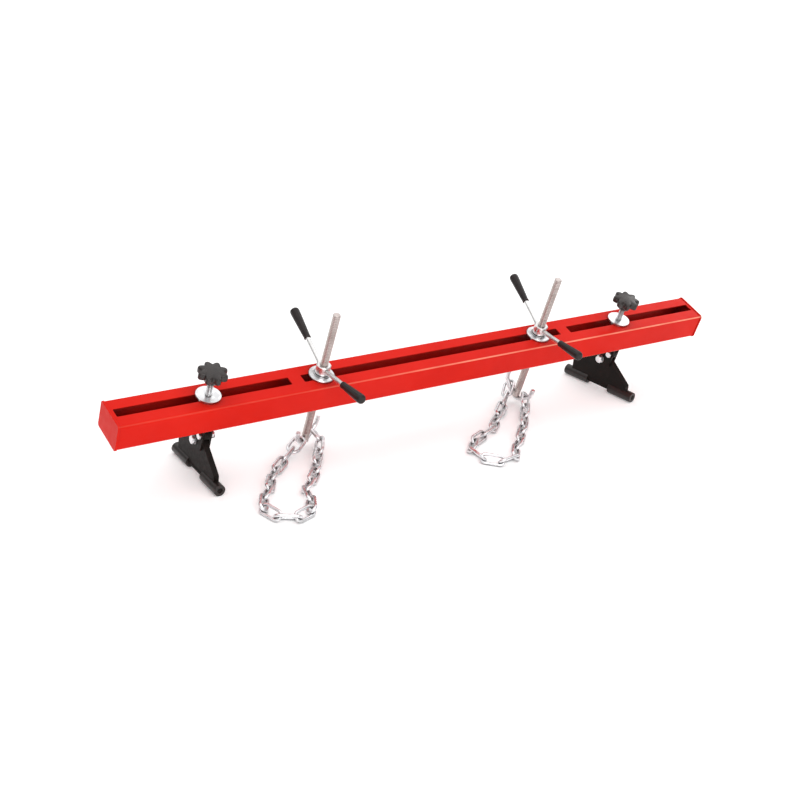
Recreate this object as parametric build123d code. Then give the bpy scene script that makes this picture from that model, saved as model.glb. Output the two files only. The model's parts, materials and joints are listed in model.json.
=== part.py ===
"""Engine support bar: a slotted box beam on two clamped feet, with two screw lifters and their chains.

Lengths are millimetres and angles are degrees.

Three frames are used.
  beam frame   X along the beam, Z square to its top face, origin at the middle of the tube.
  foot frame   origin on a foot's pivot bolt, Y along the foot rod, Z up the foot plate.
  row frame    the exported one: Z up, z = 0 is the ground that the rubber sleeves stand on.

At rest the beam leans forward on its two feet until each foot plate meets its stop, so the beam frame
is rolled about X against the row frame.  Both feet and both chains lie on the ground.
"""
from build123d import *
from math import atan2, cos, degrees, radians, sin, sqrt, tan
import os

# ------------------------------------------------------------------ driving dimensions
# Beam: rectangular tube with three long slots through its top and bottom walls.
BEAM_LENGTH = 1500.0
BEAM_DEPTH = 80.0
BEAM_HEIGHT = 60.0
BEAM_WALL = 3.0
BEAM_CORNER = 5.0
END_PLATE = 4.0
END_OVERHANG = 1.5
SLOT_WIDTH = 22.0
SLOT_CORNER = 2.0
MIDDLE_SLOT_END = 334.0
OUTER_SLOT_START = 363.0
OUTER_SLOT_END = 740.0
BEAM_LEAN = 14.0

# Feet: where they are clamped and how far each is turned about its stud.
FOOT_X = (-546.0, 514.0)
FOOT_TURN = (0.0, 14.0)

# Lifters: spindle places, hook directions and front handle directions, from +X towards +Y.
LIFTER_X = (-290.0, 275.0)
HOOK_TURN = (28.0, -78.0)
HANDLE_TURN = (-91.0, -95.0)

# Gaps.
REST_GAP = 0.1            # flat faces of different bodies that bear on each other
RUNNING_GAP = 0.06        # shaft in its bore, on the radius
LOOSE_GAP = 0.3           # hole over a bolt or spindle, on the radius

# Foot clamp: star knob, stud, washer and the yoke under the beam.
STUD_R = 6.0
STUD_TOP = 88.0
STUD_SETBACK = 0.5        # stud's lower end above the underside of the yoke's web
CLAMP_WASHER_R = 25.5
CLAMP_WASHER_T = 4.0
KNOB_BOTTOM = 66.0
KNOB_TOP = 96.0
KNOB_NECK_BASE_R = 13.5
KNOB_NECK_TOP_R = 19.0
KNOB_NECK_LENGTH = 13.0
KNOB_LOBES = 8
KNOB_LOBE_R = 7.0
KNOB_CORE_R = 24.0
KNOB_VALLEY_R = 3.0
KNOB_EDGE = 3.0
INSERT_R = 9.0
INSERT_T = 12.0
INSERT_GAP = 0.05         # insert in the knob's bore, on the radius
YOKE_HALF_WIDTH = 10.5
YOKE_HALF_LENGTH = 27.0
YOKE_SHEET = 4.0
YOKE_WEB = 5.0
YOKE_BOTTOM = -90.0
YOKE_CORNER = 4.0
PIVOT_Z = -80.0
PIVOT_R = 5.0
STOP_BOLT_R = 4.0
STOP_Y = -17.5            # stop bolt against the pivot bolt
STOP_Z = 24.5

# Foot: pressed plate, ground rod and rubber sleeves.
PLATE_WIDTH = 12.0
PLATE_SHEET = 4.0
PLATE_FOOT_Y = 78.0
PLATE_FRONT_Z = -45.0     # height of the plate's shoulders against the pivot bolt
PLATE_REAR_Z = -31.0
PLATE_TOP_Y = 16.0
PLATE_TOP_Z = 11.0
PLATE_CORNER = 4.0
PLATE_ON_ROD = 4.0        # plate's lower edge above the rod's axis
ROD_DROP = 69.0
ROD_R = 6.0
ROD_HALF_LENGTH = 95.5
SLEEVE_R = 12.0
SLEEVE_START = 30.0
SLEEVE_END = 96.5
SPACER_R = 6.8

# Lifter: spindle, handle nut and double hook.
SPINDLE_R = 8.0
SPINDLE_TOP = 184.0
SPINDLE_CHAMFER = 1.5
LIFTER_WASHER_R = 27.0
LIFTER_WASHER_T = 4.0
THRUST_WASHER_R = 17.0
THRUST_WASHER_T = 2.5
HUB_R = 15.0
HUB_TOP = 58.0
ARM_R = 5.0
ARM_REACH = 149.0
ARM_RISE = 15.5
ARM_Z = 45.0
GRIP_LENGTH = 75.0
GRIP_INNER_R = 7.5
GRIP_OUTER_R = 10.0
GRIP_END_WALL = 6.0
HOOK_R = 5.0
HOOK_TIP = (39.0, -102.0)      # half span and height of the bar's centre at each end
HOOK_KNEE = (37.0, -123.0)
HOOK_CORNER_Z = -160.0         # where the two straight arms would cross
HOOK_BEND = 22.0
HOOK_KNEE_BEND = 12.0

# Chains: welded round-wire links.
LINK_WIRE = 7.0
LINK_PITCH = 43.0
LINK_INNER_WIDTH = 13.0
END_LINK_INNER_WIDTH = 18.0
LINKS = 18
LYING_ROLL = 45.0              # a lying chain rests on links tilted to either side
CHAIN_SEAT = 27.0              # how far out along the hook arm an end link sits
SEAT_SETBACK = 9.0             # an end link's joint point lies this far behind the hook bar
RISE_LENGTH = 120.0            # stretch over which a chain rises from the ground to its hook
ROLL_BLEND = 2.5               # links over which the roll changes from hooked to lying
PATH_STEPS = 1500

# Chain routes on the ground, against the point under the spindle's place on the beam axis: the way
# out, the round end (centre x, centre y, radius, start angle, end angle) and the way back.
CHAIN_OUT = (
    ((-76, -16), (-130, -62), (-172, -118)),
    ((-40, 24), (-94, -23), (-150, -72)),
)
CHAIN_LOOP = ((-158, -172, 50, 160, 345), (-199, -150, 51, 118, 290))
CHAIN_LOOP_STEPS = 5
CHAIN_BACK = (
    ((-94, -134), (-58, -102), (-30, -66), (-4, -28), (22, 6)),
    ((-160, -174), (-122, -138), (-90, -106), (-54, -68), (-22, -28)),
)

# ------------------------------------------------------------------ frames
PIVOT_TO_GROUND = ROD_DROP + SLEEVE_R
BEAM_AXIS_HEIGHT = PIVOT_TO_GROUND - PIVOT_Z * cos(radians(BEAM_LEAN))
BEAM_FRAME = Location((0, 0, BEAM_AXIS_HEIGHT), (BEAM_LEAN, 0, 0))


def foot_lean(turn):
    """Tilt of a foot about its pivot bolt that lays its rod level under the leaning beam."""
    return degrees(atan2(cos(radians(turn)) * tan(radians(BEAM_LEAN)), 1.0))


def swivel_frame(x, turn):
    """Frame of a foot's stud and yoke, inside the beam frame."""
    return Location((x, 0, 0), (0, 0, turn))


def rocker_frame(x, turn):
    """Frame of a foot's plate, rod and sleeves, inside the beam frame."""
    return swivel_frame(x, turn) * Location((0, 0, PIVOT_Z), (-foot_lean(turn), 0, 0))


# ------------------------------------------------------------------ small helpers
def post(radius, low, high):
    """Round bar on the Z axis from low to high."""
    return Pos(0, 0, (low + high) / 2) * Cylinder(radius, high - low)


def ring(outer, inner, low, high):
    """Round washer or tube on the Z axis."""
    return post(outer, low, high) - post(inner, low - 1, high + 1)


def along_x(shape):
    """Turn a shape built on the Z axis so that it lies along +X."""
    return Rot(0, 90, 0) * shape


def along_y(shape):
    """Turn a shape built on the Z axis so that it lies along +Y."""
    return Rot(-90, 0, 0) * shape


def hexagon(across_flats, low, high, bore=0.0):
    """Hexagon head or nut on the Z axis, with chamfered corners."""
    corner_r = across_flats / sqrt(3)
    chamfer_h = 0.6
    blank = extrude(Pos(0, 0, low) * RegularPolygon(corner_r, 6), high - low)
    cone_r = across_flats / 2
    crown = Pos(0, 0, high - chamfer_h / 2) * Cone(corner_r, cone_r, chamfer_h)
    body = post(corner_r, low, high - chamfer_h) + crown
    head = blank & body
    if bore:
        head = head - post(bore, low - 1, high + 1)
    return head


# ------------------------------------------------------------------ beam
def beam_tube():
    tube_length = BEAM_LENGTH - 2 * END_PLATE
    outer = RectangleRounded(BEAM_DEPTH, BEAM_HEIGHT, BEAM_CORNER)
    inner = RectangleRounded(BEAM_DEPTH - 2 * BEAM_WALL, BEAM_HEIGHT - 2 * BEAM_WALL, BEAM_CORNER - BEAM_WALL)
    tube = extrude(Plane.YZ * (outer - inner), tube_length / 2, both=True)
    tube = tube - slot_cut(-MIDDLE_SLOT_END, MIDDLE_SLOT_END)
    for side in (-1, 1):
        ends = sorted((side * OUTER_SLOT_START, side * OUTER_SLOT_END))
        tube = tube - slot_cut(*ends)
    return tube


def slot_cut(start, end):
    outline = Pos((start + end) / 2, 0, 0) * RectangleRounded(end - start, SLOT_WIDTH, SLOT_CORNER)
    return extrude(outline, BEAM_HEIGHT, both=True)


def end_plate(side):
    depth = BEAM_DEPTH + 2 * END_OVERHANG
    height = BEAM_HEIGHT + 2 * END_OVERHANG
    outline = RectangleRounded(depth, height, BEAM_CORNER + END_OVERHANG)
    plate = extrude(Plane.YZ * outline, END_PLATE)
    outer_edges = plate.faces().sort_by(Axis.X)[-1].edges()
    plate = fillet(outer_edges, 1.0)
    plate = Pos(BEAM_LENGTH / 2 - END_PLATE, 0, 0) * plate
    if side < 0:
        plate = Rot(0, 0, 180) * plate
    return plate


# ------------------------------------------------------------------ foot clamp, in the swivel frame
WASHER_BASE = BEAM_HEIGHT / 2 + REST_GAP
YOKE_TOP = -BEAM_HEIGHT / 2 - REST_GAP
YOKE_INNER = YOKE_HALF_WIDTH - YOKE_SHEET
PIVOT_HEAD_T = 6.4
PIVOT_WASHER_R = 10.0
PIVOT_WASHER_T = 1.6
PIVOT_NUT_T = 9.0
PIVOT_END_X = 33.0
STOP_HEAD_T = 5.3
STOP_NUT_T = 6.5


def clamp_washer():
    return ring(CLAMP_WASHER_R, STUD_R + LOOSE_GAP, WASHER_BASE, WASHER_BASE + CLAMP_WASHER_T)


def clamp_stud():
    """Threaded stud, fixed in the knob at its upper end and screwed into the yoke's web below."""
    return chamfer(post(STUD_R, YOKE_TOP - YOKE_WEB + STUD_SETBACK, STUD_TOP).edges(), 1.0)


def star_knob():
    """Star-shaped disc on a tapered neck, bored for the insert and, above it, for the stud."""
    body_base = KNOB_BOTTOM + KNOB_NECK_LENGTH
    outline = Circle(KNOB_CORE_R)
    for index in range(KNOB_LOBES):
        turn = Rot(0, 0, index * 360 / KNOB_LOBES)
        outline = outline + turn * Pos(KNOB_CORE_R, 0, 0) * Circle(KNOB_LOBE_R)
    outline = fillet(outline.vertices(), KNOB_VALLEY_R)
    star = extrude(Pos(0, 0, body_base) * outline, KNOB_TOP - body_base)
    star = fillet(star.faces().sort_by(Axis.Z)[-1].edges(), KNOB_EDGE)
    neck = Pos(0, 0, KNOB_BOTTOM + KNOB_NECK_LENGTH / 2) * Cone(KNOB_NECK_BASE_R, KNOB_NECK_TOP_R, KNOB_NECK_LENGTH)
    knob = star + neck
    knob = knob - post(INSERT_R + INSERT_GAP, KNOB_BOTTOM - 1, KNOB_BOTTOM + INSERT_T + REST_GAP)
    return knob - post(STUD_R, KNOB_BOTTOM, STUD_TOP)


def knob_insert():
    return ring(INSERT_R, STUD_R + RUNNING_GAP, KNOB_BOTTOM, KNOB_BOTTOM + INSERT_T)


def yoke():
    """Folded strap: a web under the beam and two cheeks that hold the pivot bolt."""
    height = YOKE_TOP - YOKE_BOTTOM
    middle = (YOKE_TOP + YOKE_BOTTOM) / 2
    strap = Pos(0, 0, middle) * Box(2 * YOKE_HALF_WIDTH, 2 * YOKE_HALF_LENGTH, height)
    folds = strap.faces().sort_by(Axis.Z)[-1].edges().filter_by(Axis.Y)
    strap = fillet(folds, YOKE_SHEET)
    gap = Pos(0, 0, middle - YOKE_WEB) * Box(2 * YOKE_INNER, 3 * YOKE_HALF_LENGTH, height)
    strap = strap - gap
    feet = strap.edges().filter_by(Axis.X).group_by(Axis.Z)[0]
    strap = fillet(feet, YOKE_CORNER)
    strap = strap - post(STUD_R + RUNNING_GAP, YOKE_TOP - 2 * YOKE_WEB, YOKE_TOP + 1)
    strap = strap - Pos(0, 0, PIVOT_Z) * along_x(post(PIVOT_R, -30, 30))
    return strap - Pos(0, STOP_Y, PIVOT_Z + STOP_Z) * along_x(post(STOP_BOLT_R, -30, 30))


def pivot_bolt():
    face = -YOKE_HALF_WIDTH - PIVOT_WASHER_T
    shank = chamfer(post(PIVOT_R, face, PIVOT_END_X).edges().group_by(Axis.Z)[-1], 1.0)
    head = Rot(180, 0, 0) * hexagon(17.0, -face, -face + PIVOT_HEAD_T)
    return Pos(0, 0, PIVOT_Z) * along_x(shank + head)


def pivot_washers():
    low = ring(PIVOT_WASHER_R, PIVOT_R, -YOKE_HALF_WIDTH - PIVOT_WASHER_T, -YOKE_HALF_WIDTH)
    high = ring(PIVOT_WASHER_R, PIVOT_R, YOKE_HALF_WIDTH, YOKE_HALF_WIDTH + PIVOT_WASHER_T)
    return [Pos(0, 0, PIVOT_Z) * along_x(washer) for washer in (low, high)]


def pivot_nut():
    face = YOKE_HALF_WIDTH + PIVOT_WASHER_T
    return Pos(0, 0, PIVOT_Z) * along_x(hexagon(17.0, face, face + PIVOT_NUT_T, bore=PIVOT_R))


def stop_fasteners():
    end = YOKE_HALF_WIDTH + STOP_NUT_T + 2.0
    shank = post(STOP_BOLT_R, -YOKE_HALF_WIDTH, end)
    head = Rot(180, 0, 0) * hexagon(13.0, YOKE_HALF_WIDTH, YOKE_HALF_WIDTH + STOP_HEAD_T)
    nut = hexagon(13.0, YOKE_HALF_WIDTH, YOKE_HALF_WIDTH + STOP_NUT_T, bore=STOP_BOLT_R)
    place = Pos(0, STOP_Y, PIVOT_Z + STOP_Z)
    return [place * along_x(shank + head), place * along_x(nut)]


def stop_spacer():
    """Tube between the cheeks, as large as lets the plate's side rest on it at full lean."""
    run = PLATE_FOOT_Y - PLATE_TOP_Y
    rise = PLATE_TOP_Z - PLATE_FRONT_Z
    slope = sqrt(run ** 2 + rise ** 2)
    normal_y = -rise / slope
    normal_z = run / slope
    side_distance = -PLATE_TOP_Y * normal_y + PLATE_TOP_Z * normal_z
    lean = radians(BEAM_LEAN)
    leaned_y = normal_y * cos(lean) + normal_z * sin(lean)
    leaned_z = -normal_y * sin(lean) + normal_z * cos(lean)
    radius = STOP_Y * leaned_y + STOP_Z * leaned_z - side_distance - REST_GAP
    tube = ring(radius, STOP_BOLT_R, -YOKE_INNER, YOKE_INNER)
    return Pos(0, STOP_Y, PIVOT_Z + STOP_Z) * along_x(tube)


# ------------------------------------------------------------------ foot, in the foot frame
def plate_outline(inset=0.0, bottom=PLATE_ON_ROD - ROD_DROP):
    """Six-sided face of the plate, its rear shoulder the higher; inset moves the sides and top inwards."""
    foot_y = PLATE_FOOT_Y - inset
    front_z = PLATE_FRONT_Z - 0.4 * inset
    rear_z = PLATE_REAR_Z - 0.5 * inset
    top_y = PLATE_TOP_Y - 0.4 * inset
    top_z = PLATE_TOP_Z - inset
    corners = [(-foot_y, bottom), (-foot_y, front_z), (-top_y, top_z),
               (top_y, top_z), (foot_y, rear_z), (foot_y, bottom)]
    return make_face(Plane.YZ * Polyline(*corners, close=True))


def foot_plate():
    """Pressed pan: a web on the -X side with a flange along its ends, slopes and top."""
    half = PLATE_WIDTH / 2
    blank = Pos(-half, 0, 0) * extrude(plate_outline(), PLATE_WIDTH, dir=(1, 0, 0))
    corners = blank.edges().filter_by(Axis.X).group_by(Axis.Z)[1:]
    blank = fillet([edge for level in corners for edge in level], PLATE_CORNER)
    hollow_outline = plate_outline(inset=PLATE_SHEET, bottom=-ROD_DROP - 1)
    hollow = Pos(PLATE_SHEET - half, 0, 0) * extrude(hollow_outline, PLATE_WIDTH, dir=(1, 0, 0))
    plate = blank - hollow
    rod = Pos(0, 0, -ROD_DROP) * along_y(post(ROD_R, -ROD_HALF_LENGTH, ROD_HALF_LENGTH))
    plate = plate - rod
    for side in (-1, 1):
        start, end = sorted((side * (SLEEVE_START - LOOSE_GAP), side * (SLEEVE_END + 1)))
        room = Pos(0, 0, -ROD_DROP) * along_y(post(SLEEVE_R + LOOSE_GAP, start, end))
        below = Pos(0, (start + end) / 2, -ROD_DROP - SLEEVE_R) * Box(40, end - start, 2 * SLEEVE_R)
        plate = plate - room - below
    return plate - along_x(post(PIVOT_R + RUNNING_GAP, -30, 30))


def pivot_spacer():
    web_face = PLATE_SHEET - PLATE_WIDTH / 2
    return along_x(ring(SPACER_R, PIVOT_R + RUNNING_GAP, web_face, YOKE_INNER - REST_GAP))


def foot_rod():
    rod = chamfer(post(ROD_R, -ROD_HALF_LENGTH, ROD_HALF_LENGTH).edges(), 0.8)
    return Pos(0, 0, -ROD_DROP) * along_y(rod)


def rubber_sleeve(side):
    tube = ring(SLEEVE_R, ROD_R, SLEEVE_START, SLEEVE_END)
    rims = tube.edges().filter_by(GeomType.CIRCLE).filter_by(lambda edge: edge.radius > ROD_R + 1)
    tube = along_y(fillet(rims, 0.8))
    if side < 0:
        tube = Rot(0, 0, 180) * tube
    return Pos(0, 0, -ROD_DROP) * tube


# ------------------------------------------------------------------ lifter, on the spindle's axis
THRUST_BASE = WASHER_BASE + LIFTER_WASHER_T
HUB_BASE = THRUST_BASE + THRUST_WASHER_T + REST_GAP
GRIP_START = ARM_REACH - GRIP_LENGTH


def lifter_washer():
    washer = ring(LIFTER_WASHER_R, SPINDLE_R + LOOSE_GAP, WASHER_BASE, THRUST_BASE)
    top_rim = washer.edges().filter_by(GeomType.CIRCLE).group_by(Axis.Z)[-1].sort_by(SortBy.RADIUS)[-1]
    return chamfer(top_rim, 1.0)


def thrust_washer():
    return ring(THRUST_WASHER_R, SPINDLE_R + LOOSE_GAP, THRUST_BASE, THRUST_BASE + THRUST_WASHER_T)


def handle_hub():
    hub = post(HUB_R, HUB_BASE, HUB_TOP)
    hub = chamfer(hub.edges(), 1.5)
    return hub - post(SPINDLE_R + RUNNING_GAP, HUB_BASE - 1, HUB_TOP + 1)


def on_arm(shape):
    """Lay a shape built on the Z axis along a handle arm that rises outwards from the hub."""
    return Pos(0, 0, ARM_Z) * Rot(0, 90 - ARM_RISE, 0) * shape


def arm_length(reach):
    return reach / cos(radians(ARM_RISE))


def handle_arm():
    end = arm_length(ARM_REACH) - GRIP_END_WALL
    bar = on_arm(post(ARM_R, 0, end))
    return bar - post(HUB_R, HUB_BASE - 5, HUB_TOP + 5)


def hand_grip():
    start = arm_length(GRIP_START)
    end = arm_length(ARM_REACH)
    outer = Pos(0, 0, (start + end) / 2) * Cone(GRIP_INNER_R, GRIP_OUTER_R, end - start)
    outer = fillet(outer.edges().group_by(Axis.Z)[-1], 3.0)
    outer = fillet(outer.edges().group_by(Axis.Z)[0], 1.5)
    return on_arm(outer - post(ARM_R, start - 1, end - GRIP_END_WALL))


def double_hook():
    """V of round bar with its two ends turned up, in the XZ plane."""
    tip_x, tip_z = HOOK_TIP
    knee_x, knee_z = HOOK_KNEE
    corners = [(-tip_x, 0, tip_z), (-knee_x, 0, knee_z), (0, 0, HOOK_CORNER_Z),
               (knee_x, 0, knee_z), (tip_x, 0, tip_z)]
    bends = [HOOK_KNEE_BEND, HOOK_BEND, HOOK_KNEE_BEND]
    path = FilletPolyline(*corners, radius=bends)
    section = Plane(path @ 0, z_dir=path % 0) * Circle(HOOK_R)
    bar = sweep(section, path=path)
    tips = bar.edges().filter_by(GeomType.CIRCLE).group_by(Axis.Z)[-1]
    return fillet(tips, 2.0)


def spindle(hook):
    bar = post(SPINDLE_R, HOOK_CORNER_Z + HOOK_R, SPINDLE_TOP)
    bar = chamfer(bar.edges().group_by(Axis.Z)[-1], SPINDLE_CHAMFER)
    hook_bottom = HOOK_CORNER_Z + HOOK_BEND * (sqrt(2) - 1)
    below = post(2 * SPINDLE_R, HOOK_CORNER_Z - HOOK_R, hook_bottom)
    return (bar - below - hook).solids().sort_by(Axis.Z)[-1]


# ------------------------------------------------------------------ chain, in the row frame
def chain_link(inner_width):
    """One link lying in the XY plane with its length along X."""
    bend_r = (inner_width + LINK_WIRE) / 2
    half_straight = (LINK_PITCH + LINK_WIRE) / 2 - bend_r
    sides = [Pos(0, y, 0) * along_x(post(LINK_WIRE / 2, -half_straight, half_straight)) for y in (-bend_r, bend_r)]
    profile = Plane.XZ * Pos(bend_r, 0) * Circle(LINK_WIRE / 2)
    half_ring = revolve(profile, Axis.Z, 180)
    ends = [Pos(side * half_straight, 0, 0) * Rot(0, 0, -90 * side) * half_ring for side in (-1, 1)]
    link = sides[0] + sides[1] + ends[0] + ends[1]
    return link.solid()


def unit(vector):
    return vector * (1.0 / vector.length)


def hook_seat(index, side):
    """Row-frame point and direction of the hook bar where an end link sits; side is +1 or -1."""
    turn = radians(HOOK_TURN[index])
    knee_x, knee_z = HOOK_KNEE
    slope = (knee_z - HOOK_CORNER_Z) / knee_x
    out = Vector(cos(turn) * side, sin(turn) * side, 0)
    point = Vector(LIFTER_X[index], 0, HOOK_CORNER_Z + slope * CHAIN_SEAT) + out * CHAIN_SEAT
    along = unit(out + Vector(0, 0, slope))
    start = BEAM_FRAME * Pos(*point)
    end = BEAM_FRAME * Pos(*(point + along))
    return start.position, unit(end.position - start.position)


def link_height():
    """Height of a link's centre when it lies on the ground tilted by LYING_ROLL."""
    bend_r = (LINK_INNER_WIDTH + LINK_WIRE) / 2
    return bend_r * sin(radians(LYING_ROLL)) + LINK_WIRE / 2


def chain_route(index):
    """Plan points of a lying chain: out, round the end and back."""
    x, y, radius, start, end = CHAIN_LOOP[index]
    loop = []
    for step in range(CHAIN_LOOP_STEPS + 1):
        angle = radians(start + (end - start) * step / CHAIN_LOOP_STEPS)
        loop.append((x + radius * cos(angle), y + radius * sin(angle)))
    plan = [*CHAIN_OUT[index], *loop, *CHAIN_BACK[index]]
    return [Vector(LIFTER_X[index] + x, y, 0) for x, y in plan]


def chain_path(index):
    """Points, close together, from one hook arm, round on the ground, to the other hook arm.

    The chain's plan is one smooth curve.  Its height is that of a lying chain, and rises to the hook
    over the last stretch at both ends.
    """
    first, _ = hook_seat(index, -1)
    last, _ = hook_seat(index, 1)
    lying = chain_route(index)
    start = Vector(first.X, first.Y, 0)
    end = Vector(last.X, last.Y, 0)
    start = start - unit(lying[0] - start) * SEAT_SETBACK
    end = end - unit(lying[-1] - end) * SEAT_SETBACK
    plan = Spline(start, *lying, end)
    points = []
    for step in range(PATH_STEPS + 1):
        share = step / PATH_STEPS
        near_first = max(0.0, 1 - share * plan.length / RISE_LENGTH)
        near_last = max(0.0, 1 - (1 - share) * plan.length / RISE_LENGTH)
        height = link_height()
        height = height + (first.Z - link_height()) * near_first ** 2
        height = height + (last.Z - link_height()) * near_last ** 2
        points.append(plan @ share + Vector(0, 0, height))
    return points


def chain_joints(points):
    """Points where neighbouring links meet, evenly spaced by chord from end to end of the path."""
    low, high = 0.8 * LINK_PITCH, 1.1 * LINK_PITCH
    for _ in range(40):
        spacing = (low + high) / 2
        joints = [points[0]]
        for point in points:
            if (point - joints[-1]).length >= spacing:
                joints.append(point)
        if len(joints) > LINKS:
            low = spacing
        else:
            high = spacing
    return joints[:LINKS] + [points[-1]], spacing


def link_plane(start, end, roll):
    """Plane of a link from start to end, turned about its length by roll from lying flat."""
    along = unit(end - start)
    flat = unit(Vector(0, 0, 1) - along * along.Z)
    across = flat.cross(along)
    normal = flat * cos(radians(roll)) + across * sin(radians(roll))
    return Plane((start + end) * 0.5, x_dir=along, z_dir=normal)


def seat_roll(start, end, bar):
    """Roll that lets a hook bar pass squarely through a link."""
    along = unit(end - start)
    flat = unit(Vector(0, 0, 1) - along * along.Z)
    across = flat.cross(along)
    normal = bar - along * bar.dot(along)
    return degrees(atan2(normal.dot(across), normal.dot(flat)))


def link_rolls(index, joints):
    """Roll of each link: square to its neighbours, set by the hook at both ends."""
    _, first_bar = hook_seat(index, -1)
    _, last_bar = hook_seat(index, 1)
    first = seat_roll(joints[0], joints[1], first_bar)
    last = seat_roll(joints[-2], joints[-1], last_bar) - 90 * (LINKS - 1)
    first = LYING_ROLL + (first - LYING_ROLL + 90) % 180 - 90
    last = LYING_ROLL + (last - LYING_ROLL + 90) % 180 - 90
    rolls = []
    for number in range(LINKS):
        from_start = max(0.0, 1 - number / ROLL_BLEND)
        from_end = max(0.0, 1 - (LINKS - 1 - number) / ROLL_BLEND)
        base = LYING_ROLL + (first - LYING_ROLL) * from_start + (last - LYING_ROLL) * from_end
        rolls.append(base + 90 * (number % 2))
    return rolls


def chain_links(index):
    """All links of a chain in order, with their planes."""
    joints, spacing = chain_joints(chain_path(index))
    print(f"chain {index + 1}: {LINKS} links, spacing {spacing:.2f} of pitch {LINK_PITCH:.0f}")
    planes = [link_plane(start, end, roll)
              for start, end, roll in zip(joints, joints[1:], link_rolls(index, joints))]
    return planes


def chain_nodes(index):
    """The two end links, and the links between them in two alternate groups."""
    plain = chain_link(LINK_INNER_WIDTH)
    wide = chain_link(END_LINK_INNER_WIDTH)
    planes = chain_links(index)
    ends = [plane.location * wide for plane in (planes[0], planes[-1])]
    odd = [plane.location * plain for plane in planes[1:-1:2]]
    even = [plane.location * plain for plane in planes[2:-1:2]]
    return ends, odd, even


# ------------------------------------------------------------------ assembly
def build():
    """Every node's solids in the row frame, before the origin is set."""
    nodes = {}

    def put(name, frame, *shapes):
        nodes[name] = [frame * shape for shape in shapes]

    put("beam_tube", BEAM_FRAME, beam_tube())
    put("end_plate_left", BEAM_FRAME, end_plate(-1))
    put("end_plate_right", BEAM_FRAME, end_plate(1))

    for index, (x, turn) in enumerate(zip(FOOT_X, FOOT_TURN)):
        tag = f"foot_{index + 1}"
        swivel = BEAM_FRAME * swivel_frame(x, turn)
        rocker = BEAM_FRAME * rocker_frame(x, turn)
        put(f"{tag}_clamp_washer", swivel, clamp_washer())
        put(f"{tag}_stud", swivel, clamp_stud())
        put(f"{tag}_star_knob", swivel, star_knob())
        put(f"{tag}_knob_insert", swivel, knob_insert())
        put(f"{tag}_yoke", swivel, yoke())
        put(f"{tag}_pivot_bolt", swivel, pivot_bolt())
        put(f"{tag}_pivot_washers", swivel, *pivot_washers())
        put(f"{tag}_pivot_nut", swivel, pivot_nut())
        put(f"{tag}_stop_bolt_and_nut", swivel, *stop_fasteners())
        put(f"{tag}_stop_spacer", swivel, stop_spacer())
        put(f"{tag}_plate", rocker, foot_plate())
        put(f"{tag}_pivot_spacer", rocker, pivot_spacer())
        put(f"{tag}_rod", rocker, foot_rod())
        put(f"{tag}_rubber_sleeve_front", rocker, rubber_sleeve(-1))
        put(f"{tag}_rubber_sleeve_rear", rocker, rubber_sleeve(1))

    for index, x in enumerate(LIFTER_X):
        tag = f"lifter_{index + 1}"
        upright = BEAM_FRAME * Location((x, 0, 0))
        hooked = upright * Rot(0, 0, HOOK_TURN[index])
        hook = double_hook()
        put(f"{tag}_washer", upright, lifter_washer())
        put(f"{tag}_thrust_washer", upright, thrust_washer())
        put(f"{tag}_handle_hub", upright, handle_hub())
        for side, half_turn in (("front", 0), ("rear", 180)):
            arm_frame = upright * Rot(0, 0, HANDLE_TURN[index] + half_turn)
            put(f"{tag}_arm_{side}", arm_frame, handle_arm())
            put(f"{tag}_grip_{side}", arm_frame, hand_grip())
        put(f"{tag}_spindle", hooked, spindle(hook))
        put(f"{tag}_hook", hooked, hook)
        ends, odd, even = chain_nodes(index)
        put(f"{tag}_chain_end_links", Location(), *ends)
        put(f"{tag}_chain_links_odd", Location(), *odd)
        put(f"{tag}_chain_links_even", Location(), *even)
    return nodes


def bounds(nodes):
    """Lowest and highest corner over every solid."""
    boxes = [solid.bounding_box() for solids in nodes.values() for solid in solids]
    low = [min(getattr(box.min, axis) for box in boxes) for axis in "XYZ"]
    high = [max(getattr(box.max, axis) for box in boxes) for axis in "XYZ"]
    return low, high


def export(nodes, shift):
    os.makedirs("parts", exist_ok=True)
    for name, solids in nodes.items():
        moved = [Pos(*shift) * solid for solid in solids]
        shape = moved[0] if len(moved) == 1 else Compound(children=moved)
        export_step(shape, f"parts/{name}.step")


NODES = build()
LOW, HIGH = bounds(NODES)
ORIGIN_SHIFT = (-(LOW[0] + HIGH[0]) / 2, -(LOW[1] + HIGH[1]) / 2, -LOW[2])
export(NODES, ORIGIN_SHIFT)
print("nodes", len(NODES), "shift", [round(value, 3) for value in ORIGIN_SHIFT])
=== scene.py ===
"""Looks, light and camera for the engine support bar.

Lengths in the shape functions are millimetres in a piece's own frame.  Each frame comes from the
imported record's joints, so every piece stands where the CAD says.
"""
import json
from math import ceil, cos, pi, radians, sin, sqrt, tau

import bmesh
import bpy
from mathutils import Matrix, Vector

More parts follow.
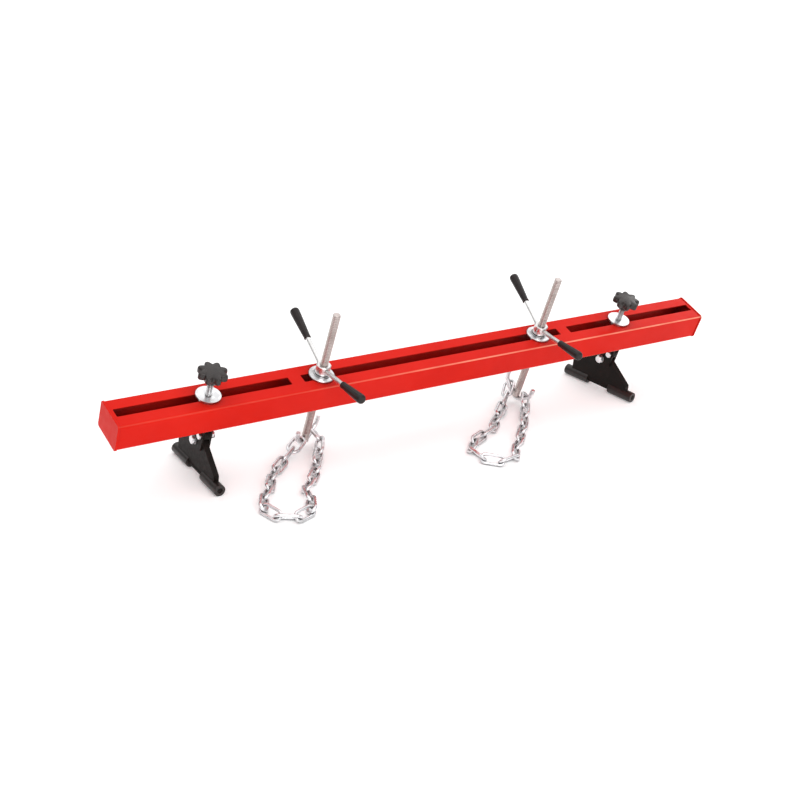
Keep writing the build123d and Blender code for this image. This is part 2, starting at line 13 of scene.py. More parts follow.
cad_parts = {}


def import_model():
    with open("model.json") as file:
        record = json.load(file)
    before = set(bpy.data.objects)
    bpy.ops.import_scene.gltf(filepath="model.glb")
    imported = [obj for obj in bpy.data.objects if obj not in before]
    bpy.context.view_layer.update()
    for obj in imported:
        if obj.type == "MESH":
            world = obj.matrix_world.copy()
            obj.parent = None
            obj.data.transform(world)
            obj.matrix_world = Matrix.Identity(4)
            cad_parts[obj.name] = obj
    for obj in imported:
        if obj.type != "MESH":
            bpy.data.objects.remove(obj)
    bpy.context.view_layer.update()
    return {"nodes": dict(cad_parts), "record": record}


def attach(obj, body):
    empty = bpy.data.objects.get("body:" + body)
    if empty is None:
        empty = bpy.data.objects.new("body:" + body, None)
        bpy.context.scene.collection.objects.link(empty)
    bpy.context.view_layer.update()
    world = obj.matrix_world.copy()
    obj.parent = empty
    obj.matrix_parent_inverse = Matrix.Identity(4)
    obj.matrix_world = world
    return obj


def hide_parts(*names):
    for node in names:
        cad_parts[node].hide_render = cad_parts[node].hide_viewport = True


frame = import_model()

# ------------------------------------------------------------------ camera, measured in metres
CAMERA_PLACE = (-1.7568, -2.2122, 1.4831)
CAMERA_TURN = (63.493, -6.083, -33.503)
CAMERA_LENS = 66.06
SENSOR = 36.0
CAMERA_FAR = 100

# ------------------------------------------------------------------ light
WORLD_STRENGTH = 0.8
# Height of the sky from the horizon at 0 to overhead at 1, and its grey there.
SKY_STOPS = ((0.0, 0.75), (0.06, 0.30), (0.22, 0.16), (0.42, 0.75), (1.0, 0.9))
OVERCAST_PLACE = (0.2, 0.4, 3.0)
OVERCAST_STRENGTH = 1.38
OVERCAST_SPREAD = 110          # degrees across
# Name, place, the point it faces, width and height in metres, and watts.
SOFTBOXES = (
    ("front_softbox", (-1.2, -3.0, 1.9), (0, 0, 0.15), (2.6, 1.6), 43),
    ("right_softbox", (2.6, 0.6, 1.4), (0.2, 0, 0.15), (1.2, 1.2), 8),
)
FLOOR_HALF_SIZE = 40.0         # metres
FLOOR_GLOW = 0.14              # lifts the soft shadows on the pale floor

# Places along the beam, in metres, between which the painted highlight on its edges grows from faint to full.
BEAM_HIGHLIGHT_SPAN = (-0.40, 0.15)
EDGE_HIGHLIGHT_WIDTH = 0.0009             # width in metres of the painted edge highlight on the dark pieces

# ------------------------------------------------------------------ shape sizes, in millimetres
MM = 0.001

STUD_R = 6.0
STUD_LOW = -34.6
STUD_HIGH = 87.9
STUD_PITCH = 1.75
STUD_DEPTH = 1.05

SPINDLE_R = 8.0
SPINDLE_LOW = -146.0
SPINDLE_THREAD_LOW = -128.0
SPINDLE_HIGH = 184.0
SPINDLE_PITCH = 4.0
SPINDLE_DEPTH = 1.5
SPINDLE_CREST = 0.34            # shares of one pitch
SPINDLE_FLANK = 0.16
SPINDLE_BEVEL = 1.5

KNOB_LOW = 66.0
KNOB_SHOULDER = 79.0
KNOB_HIGH = 96.0
KNOB_LOBES = 8
KNOB_TIP_R = 31.0
KNOB_VALLEY_R = 23.5
KNOB_NECK_R = 13.5
KNOB_SKIRT_R = 19.0
KNOB_BORE_R = 9.05
KNOB_BORE_TOP = 78.1
KNOB_STEPS = 20                # points round one lobe

ARM_ROOT_Z = 45.0
ARM_RISE = 15.5
ARM_REACH = 149.0
GRIP_LENGTH = 75.0
GRIP_INNER_R = 7.5
GRIP_OUTER_R = 10.0
GRIP_BORE_R = 5.0
GRIP_TAPER_LOW = 5.0
GRIP_TAPER_LENGTH = 62.0
GRIP_TAPER_R = 7.0
GRIP_TAPER_STEPS = 18
GRIP_FLUTES = 12
GRIP_FLUTE_DEPTH = 0.35
HANDLE_TURN = (-91.0, -95.0)    # degrees, for lifters 1 and 2

PIVOT_Z = -80.0
BOLT_R = 5.0
BOLT_HEAD_FLATS = 17.0
BOLT_HEAD_FACE = -12.1
BOLT_HEAD_T = 6.4
BOLT_HEAD_CHAMFER = 1.6
BOLT_THREAD_LOW = 14.0
BOLT_END = 33.0
BOLT_PITCH = 1.5
BOLT_DEPTH = 0.9

WELD_STEP = 0.8
WELD_RIPPLE = 2.1              # radians of ripple at each step
WELD_SWELL = 0.18              # ripple height as a share of the bead
WELD_SIDES = 12
WELD_RING_STEPS = 96
WELD_RING_RIPPLES = 16
ROD_WELD_X = -5.2
ROD_WELD_Z = -65.3
ROD_WELD_REACH = 29.0
ROD_WELD_THICK = 1.7
HOOK_WELD_Z = -145.5
HOOK_WELD_R = SPINDLE_R - 1.6
HOOK_WELD_THICK = 2.2

# ------------------------------------------------------------------ frames of the pieces
JOINTS = {joint["name"]: joint for joint in frame["record"]["behaviour"]["joints"]}
BEAM_UP = Vector(JOINTS["foot_1_turn"]["axis"]).normalized()
BEAM_BACK = BEAM_UP.cross(Vector((1, 0, 0)))


def frame_at(origin, x_axis, z_axis):
    """Matrix from millimetres in a piece's frame to metres in the row frame."""
    z_axis = Vector(z_axis).normalized()
    x_axis = Vector(x_axis)
    x_axis = (x_axis - z_axis * x_axis.dot(z_axis)).normalized()
    y_axis = z_axis.cross(x_axis)
    turn = Matrix((x_axis, y_axis, z_axis)).transposed().to_4x4()
    return Matrix.Translation(Vector(origin)) @ turn @ Matrix.Scale(MM, 4)


def lifter_frame(number):
    """Origin on the beam axis under lifter 1 or 2, Z along its spindle."""
    joint = JOINTS[f"lifter_{number}_handle_turn"]
    return frame_at(joint["pos_m"], (1, 0, 0), joint["axis"])


def swivel_frame(number):
    """Origin on the beam axis at foot 1 or 2, Z along its clamp screw, X along its pivot bolt."""
    joint = JOINTS[f"foot_{number}_turn"]
    return frame_at(joint["pos_m"], JOINTS[f"foot_{number}_rock"]["axis"], joint["axis"])


def rocker_frame(number):
    """Origin on the pivot bolt of foot 1 or 2, Y along its ground rod."""
    joint = JOINTS[f"foot_{number}_rock"]
    x_axis = Vector(joint["axis"])
    y_axis = Vector((0, 0, 1)).cross(x_axis)
    return frame_at(joint["pos_m"], x_axis, x_axis.cross(y_axis))


# ------------------------------------------------------------------ mesh helpers
def new_piece(name, verts, faces, place, smooth_angle=35):
    """Mesh object from millimetre vertices, with edges sharper than smooth_angle left crisp."""
    mesh = bpy.data.meshes.new(name)
    mesh.from_pydata([place @ Vector(vert) for vert in verts], [], faces)
    mesh.validate()
    tidy = bmesh.new()
    tidy.from_mesh(mesh)
    bmesh.ops.recalc_face_normals(tidy, faces=tidy.faces)
    tidy.to_mesh(mesh)
    tidy.free()
    mesh.set_sharp_from_angle(angle=radians(smooth_angle))
    mesh.polygons.foreach_set("use_smooth", [True] * len(mesh.polygons))
    piece = bpy.data.objects.new(name, mesh)
    bpy.context.scene.collection.objects.link(piece)
    return piece


def skin(rings, closed=False):
    """Faces that join equal rings of points; open ends are capped with one face each."""
    count = len(rings[0])
    verts = [point for one in rings for point in one]
    faces = []
    spans = len(rings) if closed else len(rings) - 1
    for level in range(spans):
        here = level * count
        there = (level + 1) % len(rings) * count
        for index in range(count):
            step = (index + 1) % count
            faces.append((here + index, here + step, there + step, there + index))
    if not closed:
        faces.append(tuple(reversed(range(count))))
        faces.append(tuple(range((len(rings) - 1) * count, len(rings) * count)))
    return verts, faces


def thread_depth_at(phase, crest, flank):
    """Share of the full depth at a place from 0 to 1 along one pitch: flat crest, flank, root, flank."""
    root = 1 - crest - 2 * flank
    if phase < crest:
        return 0.0
    if phase < crest + flank:
        return (phase - crest) / flank
    if phase < crest + flank + root:
        return 1.0
    return (1 - phase) / flank


def threaded_bar(radius, low, high, pitch, depth, thread_low, steps=48, slices=8,
                 crest=0.12, flank=0.38, bevel=1.0):
    """Bar along Z with a right-hand helical thread from thread_low to high, and a bevelled top."""
    heights = [low, thread_low - pitch / 2]
    count = ceil((high - thread_low) / pitch * slices)
    heights += [thread_low + (high - thread_low) * step / count for step in range(count + 1)]
    rings = []
    for height in heights:
        fade = min(1.0, max(0.0, (height - thread_low) / pitch))
        limit = radius - max(0.0, height - (high - bevel))
        one = []
        for step in range(steps):
            angle = tau * step / steps
            phase = (height / pitch - step / steps) % 1.0
            out = radius - depth * fade * thread_depth_at(phase, crest, flank)
            out = min(out, limit)
            one.append((out * cos(angle), out * sin(angle), height))
        rings.append(one)
    return skin(rings)


def hexagon_head(flats, low, high, corner):
    """Hexagon prism along Z whose outer corners are turned down to a cone at the high end."""
    corner_r = flats / sqrt(3)
    steps = 96
    rings = []
    for height, cut in ((low, None), (high - corner, None), (high, flats / 2 * 0.96)):
        one = []
        for step in range(steps):
            angle = tau * step / steps
            local = (angle + pi / 6) % (pi / 3) - pi / 6
            out = min(flats / 2 / cos(local), corner_r - 0.2)
            if cut is not None:
                out = min(out, cut)
            one.append((out * cos(angle), out * sin(angle), height))
        rings.append(one)
    return skin(rings)


def joined(*parts):
    """One vertex and face list from several."""
    verts, faces = [], []
    for part_verts, part_faces in parts:
        start = len(verts)
        verts += part_verts
        faces += [tuple(start + index for index in face) for face in part_faces]
    return verts, faces


def moved(part, matrix):
    """The same faces on vertices carried by the matrix."""
    verts, faces = part
    return [tuple(matrix @ Vector(vert)) for vert in verts], faces


# ------------------------------------------------------------------ materials
def srgb(red, green, blue):
    """Scene-linear colour from display values between 0 and 255."""
    def linear(value):
        value = value / 255
        return value / 12.92 if value <= 0.04045 else ((value + 0.055) / 1.055) ** 2.4
    return (linear(red), linear(green), linear(blue), 1.0)


class Look:
    """A material with its shader, and short ways to add procedural detail to it."""

    def __init__(self, name, metallic=0.0, roughness=0.5, specular=0.5, coat=0.0, coat_roughness=0.1):
        self.material = bpy.data.materials.new(name)
        self.material.use_nodes = True
        self.nodes = self.material.node_tree.nodes
        self.links = self.material.node_tree.links
        self.shader = self.nodes["Principled BSDF"]
        self.shader.inputs["Metallic"].default_value = metallic
        self.shader.inputs["Roughness"].default_value = roughness
        self.shader.inputs["Specular IOR Level"].default_value = specular
        self.shader.inputs["Coat Weight"].default_value = coat
        self.shader.inputs["Coat Roughness"].default_value = coat_roughness
        self.place = self.nodes.new("ShaderNodeTexCoord").outputs["Object"]
        self.height = None

    def noise(self, scale, detail=3.0, roughness=0.55, stretch=(1, 1, 1)):
        """Noise from 0 to 1; scale is cells per metre."""
        mapping = self.nodes.new("ShaderNodeMapping")
        mapping.inputs["Scale"].default_value = stretch
        self.links.new(self.place, mapping.inputs["Vector"])
        noise = self.nodes.new("ShaderNodeTexNoise")
        noise.inputs["Scale"].default_value = scale
        noise.inputs["Detail"].default_value = detail
        noise.inputs["Roughness"].default_value = roughness
        self.links.new(mapping.outputs["Vector"], noise.inputs["Vector"])
        return noise.outputs["Fac"]

    def cells(self, scale):
        """Random grey for each cell; scale is cells per metre."""
        cells = self.nodes.new("ShaderNodeTexVoronoi")
        cells.inputs["Scale"].default_value = scale
        self.links.new(self.place, cells.inputs["Vector"])
        grey = self.nodes.new("ShaderNodeSeparateColor")
        self.links.new(cells.outputs["Color"], grey.inputs["Color"])
        return grey.outputs["Red"]

    def spread(self, value, low, high, start=0.3, end=0.7):
        """Value between start and end mapped to low and high."""
        spread = self.nodes.new("ShaderNodeMapRange")
        spread.inputs["From Min"].default_value = start
        spread.inputs["From Max"].default_value = end
        spread.inputs["To Min"].default_value = low
        spread.inputs["To Max"].default_value = high
        self.links.new(value, spread.inputs["Value"])
        return spread.outputs["Result"]

    def colours(self, value, *stops):
        """Colour that follows value through (place, colour) stops."""
        ramp = self.nodes.new("ShaderNodeValToRGB")
        elements = ramp.color_ramp.elements
        while len(elements) < len(stops):
            elements.new(0.5)
        for element, (place, colour) in zip(elements, stops):
            element.position = place
            element.color = colour
        self.links.new(value, ramp.inputs["Fac"])
        return ramp.outputs["Color"]

    def mixed(self, factor, first, second):
        """First colour where factor is 0, second where it is 1; either may be a constant."""
        mix = self.nodes.new("ShaderNodeMix")
        mix.data_type = "RGBA"
        self.links.new(factor, mix.inputs["Factor"])
        for socket, colour in ((mix.inputs["A"], first), (mix.inputs["B"], second)):
            if isinstance(colour, tuple):
                socket.default_value = colour
            else:
                self.links.new(colour, socket)
        return mix.outputs["Result"]

    def edge_highlight_mask(self, width):
        """Mask for the painted edge highlight: 1 on edges, 0 on flats; width in metres."""
        bevel = self.nodes.new("ShaderNodeBevel")
        bevel.samples = 4
        bevel.inputs["Radius"].default_value = width
        flat = self.nodes.new("ShaderNodeNewGeometry")
        dot = self.nodes.new("ShaderNodeVectorMath")
        dot.operation = "DOT_PRODUCT"
        self.links.new(bevel.outputs["Normal"], dot.inputs[0])
        self.links.new(flat.outputs["Normal"], dot.inputs[1])
        return self.spread(dot.outputs["Value"], 1.0, 0.0, 0.90, 0.995)

    def beam_edge_highlight(self):
        """Mask for the painted highlight along the beam's rounded long edges: 1 there, more so towards +X, 0
        on its flats; broken up by noise.
        """
        flat = self.nodes.new("ShaderNodeNewGeometry")
        towards = []
        for axis in (BEAM_UP, BEAM_BACK):
            dot = self.nodes.new("ShaderNodeVectorMath")
            dot.operation = "DOT_PRODUCT"
            dot.inputs[1].default_value = axis
            self.links.new(flat.outputs["Normal"], dot.inputs[0])
            towards.append(dot.outputs["Value"])
        product = self.multiplied(*towards)
        edge = self.spread(self.multiplied(product, product), 0.0, 1.0, 0.10, 0.24)
        along = self.nodes.new("ShaderNodeSeparateXYZ")
        self.links.new(self.place, along.inputs["Vector"])
        highlight_along = self.spread(along.outputs["X"], 0.12, 1.0, *BEAM_HIGHLIGHT_SPAN)
        return self.multiplied(self.multiplied(edge, highlight_along), self.spread(self.noise(6, detail=3), 0.3, 0.95))

    def multiplied(self, first, second):
        """Product of two values."""
        product = self.nodes.new("ShaderNodeMath")
        product.operation = "MULTIPLY"
        self.links.new(first, product.inputs[0])
        self.links.new(second, product.inputs[1])
        return product.outputs["Value"]

    def painted_crevice_shade(self, reach):
        """Mask for painted shade: 1 deep in corners and between close surfaces, 0 in the open; reach in
        metres.
        """
        shade = self.nodes.new("ShaderNodeAmbientOcclusion")
        shade.samples = 6
        shade.inputs["Distance"].default_value = reach
        return self.spread(shade.outputs["AO"], 0.8, 0.0, 0.35, 0.85)

    def set(self, socket, value):
        """Feeds a value into one of the shader's sockets."""
        self.links.new(value, self.shader.inputs[socket])

    def bump(self, value, depth, strength=1.0):
        """Adds a bump of that depth in metres on top of those already there."""
        bump = self.nodes.new("ShaderNodeBump")
        bump.inputs["Strength"].default_value = strength
        bump.inputs["Distance"].default_value = depth
        self.links.new(value, bump.inputs["Height"])
        if self.height is not None:
            self.links.new(self.height, bump.inputs["Normal"])
        self.height = bump.outputs["Normal"]
        self.links.new(self.height, self.shader.inputs["Normal"])


def red_paint():
    """Red enamel: slow drift, fine specks, painted shade in the slots and near other parts, and a painted
    highlight along the beam's edges.
    """
    look = Look("red_enamel", roughness=0.40, specular=0.06, coat=0.04, coat_roughness=0.08)
    drift = look.noise(9, detail=2)
    paint = look.colours(drift, (0.30, srgb(208, 24, 12)), (0.70, srgb(217, 30, 17)))
    specks = look.spread(look.noise(700, detail=1), 0, 0.30, 0.66, 0.78)
    speckled = look.mixed(specks, paint, srgb(186, 16, 10))
    # Painted shade: the paint darkens to near black in the slots and near other parts.
    with_painted_shade = look.mixed(look.painted_crevice_shade(0.070), speckled, srgb(36, 6, 7))
    # Painted highlight: a pale line along the beam's rounded edges, fullest towards +X.
    look.set("Base Color", look.mixed(look.beam_edge_highlight(), with_painted_shade, srgb(255, 178, 150)))
    look.set("Roughness", look.spread(look.noise(60, detail=4), 0.34, 0.48))
    look.bump(look.noise(380, detail=1), 0.00006, 0.5)
    look.bump(look.noise(14, detail=1), 0.0004, 0.12)
    return look.material


def dark_look(name, low, high, dust_and_edge_highlight, rough, specular, grain, grain_depth):
    """Black coating, moulding or rubber: two close darks, a dusting, a painted highlight along the edges in
    the same colour as the dusting, and a fine grain.
    """
    look = Look(name, roughness=rough, specular=specular)
    base = look.colours(look.noise(50), (0.3, low), (0.7, high))
    dusty = look.spread(look.noise(220, detail=4), 0, 0.4, 0.58, 0.78)
    tone = look.mixed(dusty, base, dust_and_edge_highlight)
    # Painted highlight: the edges are lightened to the same colour as the dusting.
    look.set("Base Color", look.mixed(look.edge_highlight_mask(EDGE_HIGHLIGHT_WIDTH), tone, dust_and_edge_highlight))
    look.set("Roughness", look.spread(look.noise(180), rough - 0.07, rough + 0.09))
    look.bump(look.noise(grain, detail=2), grain_depth, 0.5)
    return look.material


def black_paint():
    return dark_look("black_powder_coat", srgb(17, 12, 10), srgb(27, 20, 17), srgb(52, 41, 37),
                     0.50, 0.13, 900, 0.00012)


def knob_plastic():
    return dark_look("moulded_knob_plastic", srgb(24, 15, 13), srgb(37, 26, 23), srgb(66, 52, 47),
                     0.30, 0.55, 1500, 0.00005)


def grip_rubber():
    return dark_look("grip_plastic", srgb(20, 13, 13), srgb(32, 22, 22), srgb(66, 48, 48),
                     0.40, 0.35, 1300, 0.00008)


def sleeve_rubber():
    return dark_look("foot_rubber", srgb(22, 16, 14), srgb(34, 26, 23), srgb(72, 60, 56),
                     0.36, 0.50, 1100, 0.00010)


def zinc(name, tint_low, tint_high, rough_low, rough_high, spangle=90):
    """Zinc plate: a crystal pattern, light stains and painted shade in its hollows."""
    look = Look(name, metallic=1.0, roughness=0.3)
    crystal = look.cells(spangle)
    base = look.colours(crystal, (0.0, tint_low), (1.0, tint_high))
    stain = look.spread(look.noise(70, detail=4), 0, 0.30, 0.55, 0.80)
    stained = look.mixed(stain, base, srgb(196, 188, 180))
    # Painted shade: grey-brown in the hollows and between close surfaces.
    look.set("Base Color", look.mixed(look.painted_crevice_shade(0.008), stained, srgb(58, 44, 40)))
    look.set("Roughness", look.spread(look.noise(130, detail=4), rough_low, rough_high))
    look.bump(look.noise(800, detail=2), 0.00005, 0.35)
    return look.material


def turned_steel():
    """Washers and hubs: bright plate over fine turning marks."""
    look = Look("plated_turned_steel", metallic=1.0, roughness=0.25)
    base = look.colours(look.noise(60), (0.3, srgb(214, 213, 212)), (0.7, srgb(238, 237, 236)))
    # Painted shade: darker grey in the hollows and between close surfaces.
    look.set("Base Color", look.mixed(look.painted_crevice_shade(0.006), base, srgb(96, 88, 84)))
    look.set("Roughness", look.spread(look.noise(200, detail=4), 0.22, 0.38))
    look.bump(look.noise(500, detail=1, stretch=(1, 1, 6)), 0.00004, 0.5)
    return look.material


def spindle_steel():
    """Rolled thread: pale steel with a little oil in patches, and painted shade between the threads."""
    look = Look("oiled_screw_steel", metallic=1.0, roughness=0.35)
    oil = look.spread(look.noise(45, detail=5), 0, 0.5, 0.45, 0.75)
    steel = look.colours(look.noise(300), (0.3, srgb(196, 184, 181)), (0.7, srgb(222, 212, 208)))
    oiled = look.mixed(oil, steel, srgb(156, 140, 132))
    # Painted shade: darker between the threads.
    look.set("Base Color", look.mixed(look.painted_crevice_shade(0.003), oiled, srgb(104, 88, 80)))
    look.set("Roughness", look.spread(look.noise(160, detail=4), 0.26, 0.46))
    look.bump(look.noise(900, detail=2), 0.00005, 0.4)
    return look.material


def brass():
    """Turned brass with a slow drift of tone."""
    look = Look("insert_brass", metallic=1.0, roughness=0.3)
    tone = look.noise(90)
    look.set("Base Color", look.colours(tone, (0.3, srgb(196, 160, 88)), (0.7, srgb(214, 180, 108))))
    look.set("Roughness", look.spread(look.noise(220), 0.25, 0.4))
    return look.material


LOOKS = {
    "red_paint": red_paint(),
    "black_paint": black_paint(),
    "knob_plastic": knob_plastic(),
    "grip_rubber": grip_rubber(),
    "sleeve_rubber": sleeve_rubber(),
    "zinc_plate": zinc("zinc_plate", srgb(214, 214, 216), srgb(240, 240, 242), 0.22, 0.4),
    "bright_plate": turned_steel(),
    "spindle_steel": spindle_steel(),
    "insert_brass": brass(),
}


def dress(piece, slot):
    """Gives a piece the look of its material slot, and no other."""
    piece.data.materials.clear()
    piece.data.materials.append(LOOKS[slot])


for entry in frame["record"]["subparts"]:
    node = frame["nodes"][entry["node"]]
    for holder in node.material_slots:
        holder.material = LOOKS[entry["material_slot"]]


def add(piece, body, node, slot):
    """A detailed piece that stands for a CAD node."""
    dress(piece, slot)
    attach(piece, body)
    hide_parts(node)


# ------------------------------------------------------------------ pieces
def star_knob():
    """Knob with rounded lobes, a smooth domed top and a tapered neck that is bored for its insert."""
    steps = KNOB_LOBES * KNOB_STEPS
    middle = (KNOB_TIP_R + KNOB_VALLEY_R) / 2
    wave = (KNOB_TIP_R - KNOB_VALLEY_R) / 2

    def lobed(height, inset, depth=1.0):
        one = []
        for step in range(steps):
            angle = tau * step / steps
            swell = cos(angle * KNOB_LOBES)
            swell = 0.7 * swell + 0.3 * (1 - (1 - swell) ** 2 / 2)
            out = middle + wave * swell * depth - inset
            one.append((out * cos(angle), out * sin(angle), height))
        return one

    def round_ring(radius, height):
        return [(radius * cos(tau * step / steps), radius * sin(tau * step / steps), height)
                for step in range(steps)]

    rings = [round_ring(2.0, KNOB_BORE_TOP), round_ring(KNOB_BORE_R, KNOB_BORE_TOP)]
    rings += [round_ring(KNOB_BORE_R, KNOB_LOW), round_ring(KNOB_NECK_R - 0.8, KNOB_LOW)]
    rings += [round_ring(KNOB_NECK_R, KNOB_LOW + 0.8), round_ring(KNOB_SKIRT_R - 1.6, KNOB_SHOULDER - 3)]
    rings += [round_ring(KNOB_SKIRT_R, KNOB_SHOULDER)]
    rings += [lobed(KNOB_SHOULDER, 2.4), lobed(KNOB_SHOULDER + 0.5, 1.1), lobed(KNOB_SHOULDER + 1.8, 0.2)]
    rings += [lobed(KNOB_SHOULDER + 6, 0.0), lobed(KNOB_HIGH - 6.5, 0.1), lobed(KNOB_HIGH - 4.6, 0.8)]
    rings += [lobed(KNOB_HIGH - 3.1, 2.2, 0.95), lobed(KNOB_HIGH - 2.1, 4.2, 0.8)]
    rings += [lobed(KNOB_HIGH - 1.4, 7.0, 0.5), lobed(KNOB_HIGH - 0.8, 11.0, 0.2)]
    rings += [round_ring(11.0, KNOB_HIGH - 0.25), round_ring(5.0, KNOB_HIGH), round_ring(1.5, KNOB_HIGH)]
    return skin(rings)


def hand_grip():
    """Grip along Z from its inner end, with a collar, shallow flutes and a rounded end."""
    profile = [(GRIP_BORE_R, 0.0), (6.6, 0.0), (7.3, 0.5), (7.5, 1.4), (7.3, 2.6), (6.8, 3.4), (6.9, 4.6)]
    for step in range(1, GRIP_TAPER_STEPS + 1):
        share = step / GRIP_TAPER_STEPS
        widest = GRIP_INNER_R + (GRIP_OUTER_R - GRIP_INNER_R) * share
        radius = GRIP_TAPER_R + (GRIP_OUTER_R - GRIP_TAPER_R) * share ** 0.9
        profile.append((min(radius, widest), GRIP_TAPER_LOW + GRIP_TAPER_LENGTH * share))
    profile += [(9.9, 69.5), (9.5, 71.8), (8.6, 73.6), (7.2, 74.7), (5.0, 75.0), (1.2, 75.0)]
    steps = GRIP_FLUTES * 8
    rings = []
    for radius, height in profile:
        fade = min(1.0, max(0.0, (height - 6) / 8)) * min(1.0, max(0.0, (70 - height) / 6))
        one = []
        for step in range(steps):
            angle = tau * step / steps
            groove = GRIP_FLUTE_DEPTH * fade * (0.5 - 0.5 * cos(angle * GRIP_FLUTES)) ** 3
            out = radius - groove
            one.append((out * cos(angle), out * sin(angle), height))
        rings.append(one)
    return skin(rings)


def pivot_bolt():
    """Hexagon bolt along Z: the head at the low end, threaded over the far half of the shank."""
    shank = threaded_bar(BOLT_R, BOLT_HEAD_FACE - 1, BOLT_END, BOLT_PITCH, BOLT_DEPTH,
                         BOLT_THREAD_LOW, steps=36)
    head = hexagon_head(BOLT_HEAD_FLATS, 0, BOLT_HEAD_T, BOLT_HEAD_CHAMFER)
    flip = Matrix.Translation((0, 0, BOLT_HEAD_FACE)) @ Matrix.Rotation(pi, 4, "X")
    return joined(shank, moved(head, flip))


def weld_line(low, high, thick):
    """Rippled weld bead along Y."""
    count = ceil((high - low) / WELD_STEP)
    rings = []
    for step in range(count + 1):
        out = thick * (1 + WELD_SWELL * cos(step * WELD_RIPPLE)) if 0 < step < count else 0.3 * thick
        along = low + (high - low) * step / count
        rings.append([(out * cos(tau * side / WELD_SIDES), along, out * sin(tau * side / WELD_SIDES))
                      for side in range(WELD_SIDES)])
    return skin(rings)


def weld_ring(radius, thick):
    """Rippled weld bead round the Z axis."""
    rings = []
    for step in range(WELD_RING_STEPS):
        angle = tau * step / WELD_RING_STEPS
        out = thick * (1 + WELD_SWELL * cos(angle * WELD_RING_RIPPLES))
        one = []
        for side in range(WELD_SIDES):
            reach = radius + out * cos(tau * side / WELD_SIDES)
            one.append((reach * cos(angle), reach * sin(angle), out * sin(tau * side / WELD_SIDES)))
        rings.append(one)
    return skin(rings, closed=True)


def add_weld(name, bead, place, body, slot):
    """A weld bead rides with the parts it joins and stands for no CAD node."""
    piece = new_piece(name, *bead, place, smooth_angle=60)
    dress(piece, slot)
    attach(piece, body)


for number in (1, 2):
    tag = f"foot_{number}"
    seam = rocker_frame(number) @ Matrix.Translation((ROD_WELD_X, 0, ROD_WELD_Z))
    add_weld(f"{tag}_rod_weld", weld_line(-ROD_WELD_REACH, ROD_WELD_REACH, ROD_WELD_THICK), seam,
             f"{tag}_rocker", "black_paint")
    foot_of_spindle = lifter_frame(number) @ Matrix.Translation((0, 0, HOOK_WELD_Z))
    add_weld(f"lifter_{number}_hook_weld", weld_ring(HOOK_WELD_R, HOOK_WELD_THICK), foot_of_spindle,
             f"lifter_{number}_screw_hook", "spindle_steel")

for number in (1, 2):
    tag = f"foot_{number}"
    place = swivel_frame(number)
    knob = new_piece(f"{tag}_knob_moulding", *star_knob(), place, smooth_angle=60)
    add(knob, f"{tag}_clamp_screw", f"{tag}_star_knob", "knob_plastic")
    bolt_axis = Matrix.Translation((0, 0, PIVOT_Z)) @ Matrix.Rotation(pi / 2, 4, "Y")
    bolt = new_piece(f"{tag}_hexagon_pivot_bolt", *pivot_bolt(), place @ bolt_axis, smooth_angle=30)
    add(bolt, f"{tag}_swivel", f"{tag}_pivot_bolt", "zinc_plate")
    stud = threaded_bar(STUD_R, STUD_LOW, STUD_HIGH, STUD_PITCH, STUD_DEPTH, STUD_LOW + 1)
    stud = new_piece(f"{tag}_threaded_stud", *stud, place, smooth_angle=30)
    add(stud, f"{tag}_clamp_screw", f"{tag}_stud", "zinc_plate")

for number in (1, 2):
    tag = f"lifter_{number}"
    place = lifter_frame(number)
    bar = threaded_bar(SPINDLE_R, SPINDLE_LOW, SPINDLE_HIGH, SPINDLE_PITCH, SPINDLE_DEPTH,
                       SPINDLE_THREAD_LOW, steps=56, slices=10, crest=SPINDLE_CREST,
                       flank=SPINDLE_FLANK, bevel=SPINDLE_BEVEL)
    bar = new_piece(f"{tag}_threaded_spindle", *bar, place, smooth_angle=30)
    add(bar, f"{tag}_screw_hook", f"{tag}_spindle", "spindle_steel")
    for side, half_turn in (("front", 0), ("rear", 180)):
        turn = Matrix.Rotation(radians(HANDLE_TURN[number - 1] + half_turn), 4, "Z")
        tilt = Matrix.Translation((0, 0, ARM_ROOT_Z)) @ Matrix.Rotation(radians(90 - ARM_RISE), 4, "Y")
        out = Matrix.Translation((0, 0, ARM_REACH / cos(radians(ARM_RISE)) - GRIP_LENGTH))
        grip = new_piece(f"{tag}_grip_moulding_{side}", *hand_grip(), place @ turn @ tilt @ out)
        add(grip, f"{tag}_handle", f"{tag}_grip_{side}", "grip_rubber")


# ------------------------------------------------------------------ floor, light and camera
def floor():
    """Pale ground at height 0, far wider than the part."""
    size = FLOOR_HALF_SIZE
    corners = [(-size, -size, 0), (size, -size, 0), (size, size, 0), (-size, size, 0)]
    mesh = bpy.data.meshes.new("floor")
    mesh.from_pydata(corners, [], [(0, 1, 2, 3)])
    ground = bpy.data.objects.new("floor", mesh)
    bpy.context.scene.collection.objects.link(ground)
    look = Look("pale_floor", roughness=0.75, specular=0.2)
    tone = look.noise(3, detail=2)
    look.set("Base Color", look.colours(tone, (0.3, srgb(250, 250, 250)), (0.7, srgb(254, 254, 254))))
    look.shader.inputs["Emission Color"].default_value = (1.0, 1.0, 1.0, 1.0)
    look.shader.inputs["Emission Strength"].default_value = FLOOR_GLOW
    ground.data.materials.append(look.material)


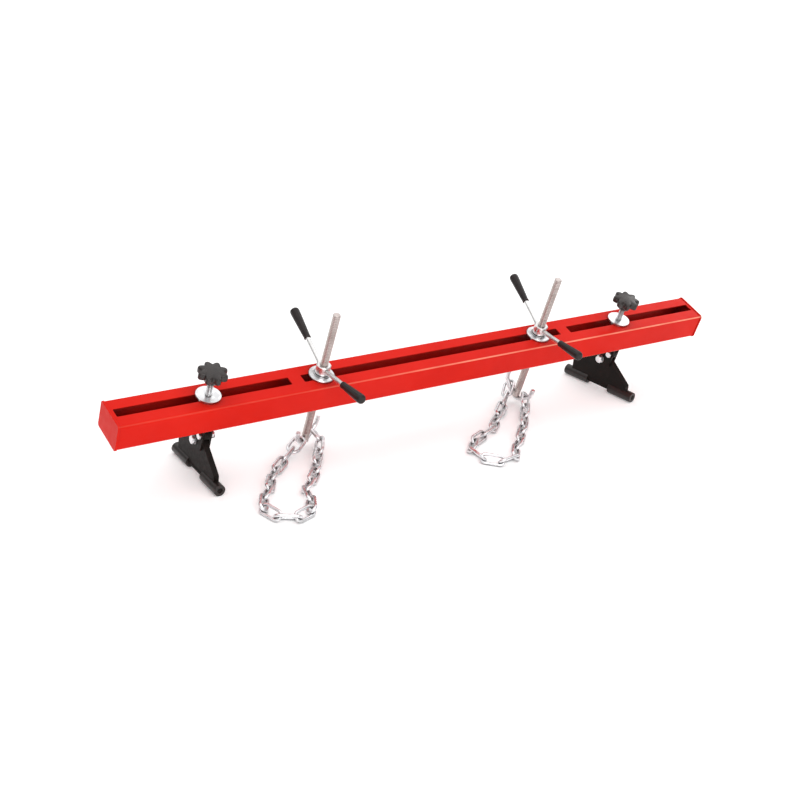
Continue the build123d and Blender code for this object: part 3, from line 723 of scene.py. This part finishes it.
def soft_light(name, place, target, size, power):
    """Rectangular studio light that faces its target."""
    lamp = bpy.data.lights.new(name, "AREA")
    lamp.shape = "RECTANGLE"
    lamp.size, lamp.size_y = size
    lamp.energy = power
    light = bpy.data.objects.new(name, lamp)
    light.location = place
    light.rotation_euler = (Vector(target) - Vector(place)).to_track_quat("-Z", "Y").to_euler()
    bpy.context.scene.collection.objects.link(light)


def overcast(place, strength):
    """Very soft even light from overhead, the same everywhere on the floor."""
    lamp = bpy.data.lights.new("overcast", "SUN")
    lamp.energy = strength
    lamp.angle = radians(OVERCAST_SPREAD)
    light = bpy.data.objects.new("overcast", lamp)
    light.location = place
    light.rotation_euler = Vector(place).to_track_quat("Z", "Y").to_euler()
    bpy.context.scene.collection.objects.link(light)


def world():
    """Pale studio: bright overhead, dimmer towards the horizon so that metal has something to mirror."""
    sky = bpy.data.worlds.new("studio")
    sky.use_nodes = True
    nodes, links = sky.node_tree.nodes, sky.node_tree.links
    split = nodes.new("ShaderNodeSeparateXYZ")
    links.new(nodes.new("ShaderNodeTexCoord").outputs["Generated"], split.inputs["Vector"])
    ramp = nodes.new("ShaderNodeValToRGB")
    elements = ramp.color_ramp.elements
    while len(elements) < len(SKY_STOPS):
        elements.new(0.5)
    for element, (place, grey) in zip(elements, SKY_STOPS):
        element.position = place
        element.color = (grey, grey, grey, 1.0)
    links.new(split.outputs["Z"], ramp.inputs["Fac"])
    links.new(ramp.outputs["Color"], nodes["Background"].inputs["Color"])
    nodes["Background"].inputs["Strength"].default_value = WORLD_STRENGTH
    bpy.context.scene.world = sky


def camera():
    """Camera at the solved viewpoint, everything in focus."""
    lens = bpy.data.cameras.new("photo_camera")
    lens.lens = CAMERA_LENS
    lens.sensor_width = SENSOR
    lens.clip_end = CAMERA_FAR
    view = bpy.data.objects.new("photo_camera", lens)
    view.location = CAMERA_PLACE
    view.rotation_euler = [radians(angle) for angle in CAMERA_TURN]
    bpy.context.scene.collection.objects.link(view)
    bpy.context.scene.camera = view


floor()
world()
for softbox in SOFTBOXES:
    soft_light(*softbox)
overcast(OVERCAST_PLACE, OVERCAST_STRENGTH)
camera()
bpy.context.scene.view_settings.view_transform = "Standard"
